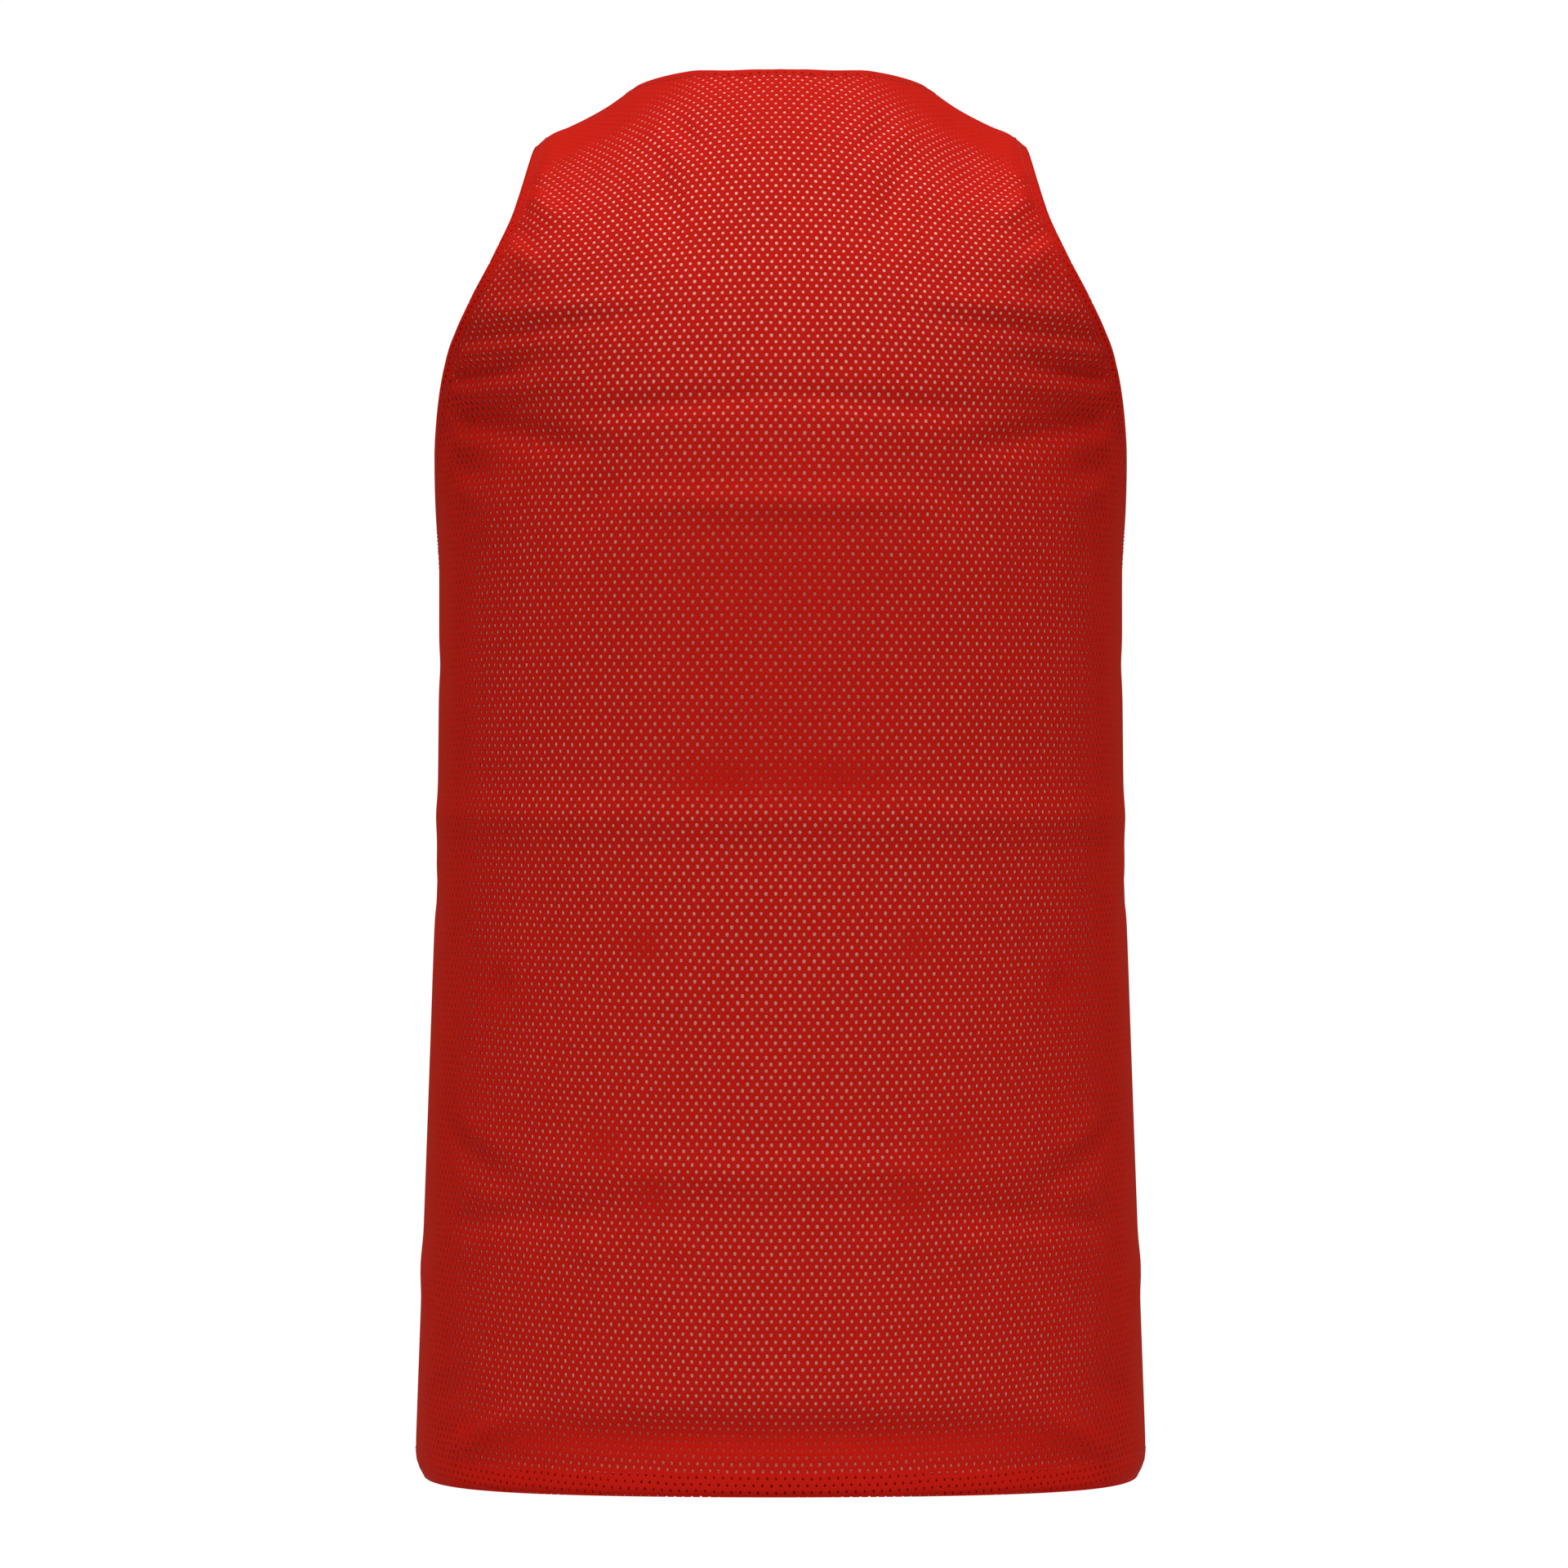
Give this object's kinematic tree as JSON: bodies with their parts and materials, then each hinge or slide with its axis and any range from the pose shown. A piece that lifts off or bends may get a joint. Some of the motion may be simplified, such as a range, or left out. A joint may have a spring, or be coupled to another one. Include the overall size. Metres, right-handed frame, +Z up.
{
  "type": "reversible basketball jersey, filled out, with no stand",
  "caption": "Sleeveless two-ply mesh basketball jersey, red outside and white inside, filled out to its worn form, open at neck, armholes and hem.",
  "frame": {"origin": "between the two shoulder straps' crests, at the height of their middle, where a wearer's shoulders hold the garment", "axes": "+Z up, +Y towards the garment's front, +X to the wearer's right as seen from behind"},
  "size_m": [0.416, 0.3226, 0.7897],
  "materials": {
    "red_mesh": "perforated polyester mesh knit with a soft sheen",
    "white_mesh": "perforated polyester mesh knit with a soft sheen"
  },
  "bodies": {
    "root": {"back_outer": "red_mesh", "back_lining": "white_mesh", "back_neck_turn": "red_mesh", "back_hem_turn": "red_mesh", "back_armhole_turn_left": "red_mesh", "back_armhole_turn_right": "red_mesh", "front_outer": "red_mesh", "front_lining": "white_mesh", "front_neck_turn": "red_mesh", "front_hem_turn": "red_mesh", "front_armhole_turn_left": "red_mesh", "front_armhole_turn_right": "red_mesh"}
  },
  "joints": []
}
